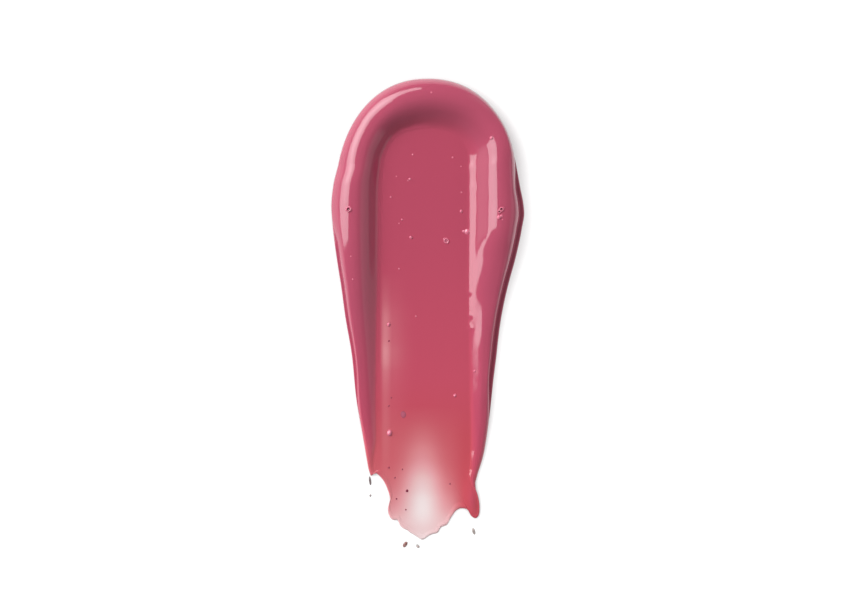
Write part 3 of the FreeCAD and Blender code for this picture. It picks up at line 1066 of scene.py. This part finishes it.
class AirBubbles:
    """The named air bubbles, each a closed, turned shape that sits on the skin.

    Attributes:
        around: points round a bubble.
        seed: start of the random draws.
        oval: how far a bubble is out of round as an oval, as a share of its radius.
        lobed: how far out of round with three lobes, likewise.
        lean: how much higher one side of it stands, as a share of its height.
    """

    around: int = 32
    seed: int = 11
    oval: float = 0.05
    lobed: float = 0.035
    lean: float = 0.14

    def __init__(self, skin: Skin, finish: bpy.types.Material) -> None:
        """Keeps what all bubbles share.

        Args:
            skin: the top of the gloss.
            finish: the bubbles' material.
        """
        self.skin = skin
        self.finish = finish
        self.random = np.random.default_rng(self.seed)

    def cell(
        self, centre: Vector, tilt: Matrix, radius: float, bubble: Bubble
    ) -> tuple[np.ndarray, np.ndarray, list[tuple[int, ...]]]:
        """Turns one cell about its axis, a little out of round.

        Args:
            centre: where it stands on the skin, in metres.
            tilt: turns its axis to the skin's normal.
            radius: its radius, in metres.
            bubble: the bubble it belongs to.

        Returns:
            Points, the share of painted shade at each, and faces.
        """
        profile = np.array(bubble.look.value)
        turn = np.linspace(0, 2 * math.pi, self.around, endpoint=False)
        phase = self.random.uniform(0, 2 * math.pi, 3)
        wobble = (
            1 + self.oval * np.sin(2 * turn + phase[0]) + self.lobed * np.sin(3 * turn + phase[1])
        )
        tip = 1 + self.lean * np.sin(turn + phase[2])
        points, painted_shade, rings = [], [], []
        for share, height, open_share in profile:
            if share == 0:
                rings.append([len(points)] * self.around)
                points.append((0.0, 0.0, height))
                painted_shade.append(open_share)
                continue
            rings.append(list(range(len(points), len(points) + self.around)))
            for angle, out, lift in zip(turn, wobble, tip):
                points.append((
                    share * out * math.cos(angle),
                    share * out * math.sin(angle) * bubble.stretch,
                    height * (lift if height > 0 else 1.0),
                ))
                painted_shade.append(open_share)
        faces: list[tuple[int, ...]] = []
        for upper, lower in zip(rings, rings[1:]):
            for i in range(self.around):
                j = (i + 1) % self.around
                faces.append(corners(upper[i], lower[i], lower[j], upper[j]))
        placed = [centre + tilt @ (Vector(point) * radius) for point in points]
        return np.array(placed), np.array(painted_shade), faces

    def make(self, bubble: Bubble) -> bpy.types.Object:
        """Makes one bubble from its cells."""
        low, high = span(bubble.node)
        middle = (low + high) / 2
        radius = bubble.grow * float(high[0] - low[0] + high[1] - low[1]) / 4
        points, painted_shade, faces, first = [], [], [], 0
        for side, up, share in bubble.cells:
            place, normal = self.skin.under(middle[0] + side * radius, middle[1] + up * radius)
            tilt = Vector((0, 0, 1)).rotation_difference(normal).to_matrix()
            found = self.cell(place, tilt, radius * share * MM, bubble)
            points.append(found[0])
            painted_shade.append(found[1])
            faces += [tuple(first + v for v in face) for face in found[2]]
            first += len(found[0])
        mesh = bpy.data.meshes.new(bubble.node + "_air")
        mesh.from_pydata(np.vstack(points).tolist(), [], faces)
        mesh.polygons.foreach_set("use_smooth", [True] * len(mesh.polygons))
        # Each point's share of painted shade, which darkens the bubble skin's colour.
        mesh.attributes.new("painted_shade", "FLOAT", "POINT").data.foreach_set(
            "value", np.concatenate(painted_shade).astype(np.float32)
        )
        mesh.materials.append(self.finish)
        return add_piece(mesh, "bubble_skin", bubble.node)

    def build(self) -> None:
        """Makes every named bubble."""
        for bubble in BUBBLES:
            self.make(bubble)


# The balls of the groups: their radius before each is scaled, their height as a share of their
# width, and how far their widths differ. Each group has its own seed, from this one on.
SPECK_SHAPE = {"Ball Radius": 1.0, "Squash": 0.55, "Uneven": 0.12}
FIRST_SPECK_SEED = 7


class Specks:
    """The groups of bubbles too small to name: one low ball set on each place by Geometry Nodes."""

    def __init__(
        self, skin: Skin, bulging: bpy.types.Material, sunk: bpy.types.Material
    ) -> None:
        """Keeps what all groups share.

        Args:
            skin: the top of the gloss.
            bulging: the finish of specks that stand out of the skin.
            sunk: the finish of those seen through the thin film of the tail.
        """
        self.skin = skin
        self.bulging = self.scatter(bulging)
        self.sunk = self.scatter(sunk)

    @staticmethod
    def scatter(finish: bpy.types.Material) -> bpy.types.NodeTree:
        """The node group: a ball on every point, as large as the point says, and flattened."""
        tree = bpy.data.node_groups.new("specks_of_air", "GeometryNodeTree")
        face = tree.interface
        face.new_socket("Places", in_out="INPUT", socket_type="NodeSocketGeometry")
        for name, value in SPECK_SHAPE.items():
            socket = face.new_socket(name, in_out="INPUT", socket_type="NodeSocketFloat")
            socket.default_value = value
        socket = face.new_socket("Seed", in_out="INPUT", socket_type="NodeSocketInt")
        socket.default_value = FIRST_SPECK_SEED
        face.new_socket("Specks", in_out="OUTPUT", socket_type="NodeSocketGeometry")
        given = add_node(tree, "NodeGroupInput").outputs
        ball = add_node(
            tree, "GeometryNodeMeshIcoSphere", {"Radius": given["Ball Radius"], "Subdivisions": 2}
        )
        size = add_node(
            tree, "GeometryNodeInputNamedAttribute", {"Name": "speck_size"}, data_type="FLOAT"
        ).outputs["Attribute"]
        uneven = add_node(
            tree, "FunctionNodeRandomValue",
            {"Min": compute(tree, "SUBTRACT", 1.0, given["Uneven"]),
             "Max": compute(tree, "ADD", 1.0, given["Uneven"]),
             "Seed": given["Seed"]},
            data_type="FLOAT",
        )
        wide = next(output for output in uneven.outputs if output.enabled)
        scale = add_node(
            tree, "ShaderNodeCombineXYZ",
            {"X": compute(tree, "MULTIPLY", size, wide), "Y": size,
             "Z": compute(tree, "MULTIPLY", size, given["Squash"])},
        )
        made = add_node(
            tree, "GeometryNodeInstanceOnPoints",
            {"Points": given["Places"], "Instance": ball.outputs["Mesh"],
             "Scale": scale.outputs[0]},
        )
        for kind in ("GeometryNodeRealizeInstances", "GeometryNodeSetShadeSmooth"):
            made = add_node(tree, kind, {"Geometry": made.outputs[0]})
        made = add_node(
            tree, "GeometryNodeSetMaterial", {"Geometry": made.outputs[0], "Material": finish}
        )
        add_node(tree, "NodeGroupOutput", {"Specks": made.outputs[0]})
        return tree

    def places(self, node: str) -> tuple[list[Vector], list[float]]:
        """Where a group's specks lie on the skin, and their radii, in metres."""
        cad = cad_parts[node]
        mesh = bmesh.new()
        mesh.from_mesh(cad.data)
        mesh.transform(cad.matrix_world)
        bmesh.ops.remove_doubles(mesh, verts=mesh.verts, dist=1e-6)
        left, spots, sizes = set(mesh.verts), [], []
        while left:
            island, edge = set(), [next(v for v in mesh.verts if v in left)]
            while edge:
                vertex = edge.pop()
                if vertex in left:
                    left.discard(vertex)
                    island.add(vertex)
                    edge += [e.other_vert(vertex) for e in vertex.link_edges]
            around = np.array([v.co for v in island])
            low, high = around.min(axis=0), around.max(axis=0)
            place, _ = self.skin.under(*((low + high)[:2] / 2 / MM))
            spots.append(place)
            sizes.append(float((high - low)[:2].max()) / 2)
        mesh.free()
        return spots, sizes

    def make(self, node: str, seed: int) -> bpy.types.Object:
        """Makes one group as a single piece."""
        spots, sizes = self.places(node)
        mesh = bpy.data.meshes.new(node + "_places")
        mesh.from_pydata([tuple(spot) for spot in spots], [], [])
        mesh.attributes.new("speck_size", "FLOAT", "POINT").data.foreach_set("value", sizes)
        source = bpy.data.objects.new(node + "_source", mesh)
        bpy.context.scene.collection.objects.link(source)
        tree = self.sunk if node == "micro_bubbles_tail" else self.bulging
        modifier = source.modifiers.new("specks", "NODES")
        modifier.node_group = tree
        names = {
            item.name: item.identifier for item in tree.interface.items_tree
            if item.item_type == "SOCKET" and item.in_out == "INPUT"
        }
        for name, value in {**SPECK_SHAPE, "Seed": seed}.items():
            modifier[names[name]] = value
        view = bpy.context.evaluated_depsgraph_get()
        made = bpy.data.meshes.new_from_object(source.evaluated_get(view), depsgraph=view)
        bpy.data.objects.remove(source)
        made.name = node + "_air"
        return add_piece(made, "bubble_skin", node)

    def build(self) -> None:
        """Makes every group."""
        for seed, node in enumerate(MICRO_GROUPS, FIRST_SPECK_SEED):
            self.make(node, seed)


@dataclass(frozen=True)
class DullFleck:
    """A loose crumb: dull, with paler and darker patches."""

    name: str
    base: str
    patch: str
    patch_mm: float = 0.16
    roughness: float = 0.38

    def make(self) -> bpy.types.Material:
        """Builds the material."""
        material, tree, shader = new_material(self.name)
        place = add_node(tree, "ShaderNodeTexCoord").outputs["Object"]
        noise = add_node(
            tree, "ShaderNodeTexNoise",
            {"Vector": place, "Scale": 1 / (self.patch_mm * MM), "Detail": 3.0},
        )
        share = add_node(
            tree, "ShaderNodeMapRange",
            {"Value": noise.outputs["Fac"], "From Min": 0.38, "From Max": 0.62},
        ).outputs[0]
        colour = blend(tree, share, linear(self.base), linear(self.patch))
        fill(shader, {"Base Color": colour, "Roughness": self.roughness})
        return material


# Base and patch colours of each fleck. Each has its own seed, from this one on.
FIRST_FLECK_SEED = 3
FLECKS = {
    "fleck_left_sliver": ("#5A4A4C", "#8A7A7A"),
    "fleck_left_dot": ("#B8AEAD", "#9A8F8F"),
    "fleck_tip_left": ("#7A4038", "#A88A86"),
    "fleck_tip_middle": ("#A8A9A7", "#BE9C99"),
    "fleck_right": ("#8C8580", "#B9A8A4"),
}


class Flecks:
    """The loose flecks: uneven crumbs that lie flat on the surface.

    Attributes:
        knocks: number of dents and lumps on each.
        knock_depth: deepest dent and tallest lump, as shares of its size.
        knock_width: how far round each knock reaches.
        widest: how far a lump can stand out past the CAD node, as a share of its size.
        cut: how far below its middle a crumb is cut off flat, as a share of its height above.
    """

    knocks: int = 9
    knock_depth: tuple[float, float] = (-0.10, 0.16)
    knock_width: float = 0.16
    widest: float = 1.12
    cut: float = 0.25

    def make(self, node: str, seed: int) -> bpy.types.Object:
        """Makes one fleck as long, wide and tall as its CAD node, and turned the same way."""
        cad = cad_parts[node]
        corners = np.array([cad.matrix_world @ v.co for v in cad.data.vertices])
        low, high = corners.min(axis=0), corners.max(axis=0)
        middle = (low + high) / 2
        plan = corners[:, :2] - corners[:, :2].mean(axis=0)
        _, axes = np.linalg.eigh(plan.T @ plan)
        half = np.abs(plan @ axes).max(axis=0)
        random = np.random.default_rng(seed)
        ball = bmesh.new()
        bmesh.ops.create_icosphere(ball, subdivisions=4, radius=1.0)
        pushes = [
            (Vector(random.normal(size=3)).normalized(), random.uniform(*self.knock_depth))
            for _ in range(self.knocks)
        ]
        for vertex in ball.verts:
            way = vertex.co.normalized()
            out = 1 + sum(
                push * math.exp(-((1 - way.dot(at)) / self.knock_width)) for at, push in pushes
            )
            across = middle[:2] + axes @ (np.array(way[:2]) * half * min(out, self.widest))
            rise = (max(way.z * out, -self.cut) + self.cut) / (1 + self.cut)
            vertex.co = (*across, high[2] * rise)
        mesh = bpy.data.meshes.new(node + "_crumb")
        ball.to_mesh(mesh)
        ball.free()
        mesh.polygons.foreach_set("use_smooth", [True] * len(mesh.polygons))
        mesh.materials.append(DullFleck(f"dull_speck_{node}", *FLECKS[node]).make())
        return add_piece(mesh, "dried_fleck", node)

    def build(self) -> None:
        """Makes every fleck, each with its own seed."""
        for seed, node in enumerate(FLECKS, FIRST_FLECK_SEED):
            self.make(node, seed)


# --------------------------------------------------------------------------- studio


@dataclass(frozen=True)
class SkyPatch:
    """A patch of light in the sky, in degrees, with soft edges.

    Attributes:
        rise: its lowest and highest elevation.
        rise_soft: how far its lower and upper edges fade, to each side.
        turn: its two ends round the horizon, from the left towards the head, or for the card from
            the right.
        turn_soft: how far those ends fade, to each side.
        strength: how bright it is.
    """

    rise: tuple[float, float]
    rise_soft: float
    turn: tuple[float, float]
    turn_soft: float
    strength: float


KEY = SkyPatch((18, 54), 0.8, (-3.2, 83), 0.8, 6.9)
CORE = SkyPatch((30, 44), 8, (10, 60), 14, 5.5)
GLOW = SkyPatch((6, 16), 2, (-12, 70), 5, 1.35)
CARD = SkyPatch((13, 54), 2, (-38, 70), 8, 0.7)


@dataclass(frozen=True)
class Studio:
    """A white table, a soft key light to the upper left, and the camera straight above.

    Attributes:
        table_half_m: half the table's side.
        table_drop_mm: how far the table lies below the gloss, so that the two don't coincide.
        table_colour: the paper's colour under the lights.
        table_roughness: how dull the paper is.
        backdrop: the colour that the camera sees past the table.
        table_glow: light that the paper gives off, fading close to the gloss in a painted shadow.
        contact_mm: how far out from the gloss that painted shadow reaches.
        field_width_mm: width of the picture on the table.
        lens_mm: the camera's lens.
        sensor_mm: width of its sensor.
        aim_x_mm: X of the picture's middle.
        aim_y_mm: Y of the picture's middle.
        squeeze_about: elevation that the key narrows about, towards its far end.
        squeeze_turn: where round the horizon it starts and ends narrowing.
        squeeze: how many times narrower it is by then.
        dome_strength: brightness of the rest of the sky.
    """

    table_half_m: float = 0.6
    table_drop_mm: float = 0.02
    table_colour: str = "#9F9F9F"
    table_roughness: float = 0.9
    backdrop: str = "#F4F4F4"
    table_glow: float = 0.85
    contact_mm: float = 1.7
    field_width_mm: float = 80.0
    lens_mm: float = 100.0
    sensor_mm: float = 36.0
    aim_x_mm: float = 0.42
    aim_y_mm: float = 0.49
    squeeze_about: float = 36.0
    squeeze_turn: tuple[float, float] = (52.0, 84.0)
    squeeze: float = 4.0
    dome_strength: float = 0.38

    def table(self) -> bpy.types.Object:
        """The pale surface that the smear lies on: it glows, with a painted shadow round the gloss.
        """
        bpy.ops.mesh.primitive_plane_add(
            size=2 * self.table_half_m, location=(0, 0, -self.table_drop_mm * MM)
        )
        table = bpy.context.object
        table.name = "white_table"
        material, tree, shader = new_material("glowing_white_paper")
        # The paper glows though it is no lamp; ambient occlusion dims the glow near the gloss: a
        # painted contact shadow.
        near = add_node(
            tree, "ShaderNodeAmbientOcclusion", {"Distance": self.contact_mm * MM}, samples=8
        )
        fill(shader, {
            "Base Color": linear(self.table_colour),
            "Roughness": self.table_roughness,
            "Specular IOR Level": 0.0,
            "Emission Color": near.outputs["Color"],
            "Emission Strength": self.table_glow,
        })
        table.data.materials.append(material)
        return table

    def sky(self) -> None:
        """The lights as a sky: a dim dome, a bright soft box on one side, a card on the other."""
        world = bpy.data.worlds.new("studio")
        world.use_nodes = True
        bpy.context.scene.world = world
        tree = world.node_tree
        tree.nodes.clear()

        def window(
            value: bpy.types.NodeSocket, limits: tuple[float, float], soft: float
        ) -> bpy.types.NodeSocket:
            """1 between two angles in degrees, with soft edges."""
            low, high = limits
            ramps = [
                add_node(
                    tree, "ShaderNodeMapRange",
                    {"Value": value, "From Min": math.radians(start),
                     "From Max": math.radians(end)},
                    interpolation_type="SMOOTHSTEP",
                ).outputs[0]
                for start, end in ((low - soft, low + soft), (high + soft, high - soft))
            ]
            return compute(tree, "MULTIPLY", *ramps)

        place = add_node(tree, "ShaderNodeTexCoord")
        split = add_node(tree, "ShaderNodeSeparateXYZ", {0: place.outputs["Generated"]}).outputs
        elevation = compute(tree, "ARCSINE", split["Z"])
        from_left = compute(
            tree, "ARCTAN2", split["Y"], compute(tree, "MULTIPLY", split["X"], -1.0)
        )
        from_right = compute(tree, "ARCTAN2", split["Y"], split["X"])
        start, end = (math.radians(angle) for angle in self.squeeze_turn)
        narrow = add_node(
            tree, "ShaderNodeMapRange",
            {"Value": from_left, "From Min": start, "From Max": end, "To Min": 1.0,
             "To Max": self.squeeze},
        ).outputs[0]
        middle = math.radians(self.squeeze_about)
        squeezed = compute(
            tree, "MULTIPLY", compute(tree, "ADD", elevation, -middle), narrow
        )
        squeezed = compute(tree, "ADD", squeezed, middle)
        total = self.dome_strength
        for patch, rise, turn in (
            (KEY, squeezed, from_left), (CORE, elevation, from_left),
            (GLOW, elevation, from_left), (CARD, elevation, from_right),
        ):
            shape = compute(
                tree, "MULTIPLY",
                window(rise, patch.rise, patch.rise_soft),
                window(turn, patch.turn, patch.turn_soft),
            )
            light = compute(tree, "MULTIPLY", shape, patch.strength)
            total = compute(tree, "ADD", light, total)
        light = add_node(tree, "ShaderNodeBackground", {"Strength": total})
        backdrop = add_node(tree, "ShaderNodeBackground", {"Color": linear(self.backdrop)})
        seen = add_node(tree, "ShaderNodeLightPath")
        mix = add_node(
            tree, "ShaderNodeMixShader",
            {0: seen.outputs["Is Camera Ray"], 1: light.outputs[0], 2: backdrop.outputs[0]},
        )
        add_node(tree, "ShaderNodeOutputWorld", {"Surface": mix.outputs[0]})

    def camera(self) -> None:
        """The camera, straight above, with the head at the top of the picture."""
        data = bpy.data.cameras.new("overhead")
        data.lens = self.lens_mm
        data.sensor_width = self.sensor_mm
        camera = bpy.data.objects.new("overhead", data)
        height = self.field_width_mm * self.lens_mm / self.sensor_mm
        camera.location = Vector((self.aim_x_mm, self.aim_y_mm, height)) * MM
        data.clip_start, data.clip_end = 0.01, 5.0
        bpy.context.scene.collection.objects.link(camera)
        bpy.context.scene.camera = camera

    def build(self) -> None:
        """Sets up the table, the lights and the camera."""
        self.table()
        self.sky()
        self.camera()
        bpy.context.scene.view_settings.view_transform = "Standard"


def main() -> None:
    """Builds the smear and its studio."""
    logging.basicConfig(level=logging.INFO, format="%(name)s %(message)s")
    mass = GlossMass(Stroke()).build(WetGloss().make())
    skin, air = Skin(mass), BubbleSkin().make()
    AirBubbles(skin, air).build()
    sunk = BubbleSkin("sunk_bubble_skin", bulging="#8E2F47", roughness=0.3).make()
    Specks(skin, air, sunk).build()
    Flecks().build()
    Studio().build()


if __name__ == "__main__":
    main()
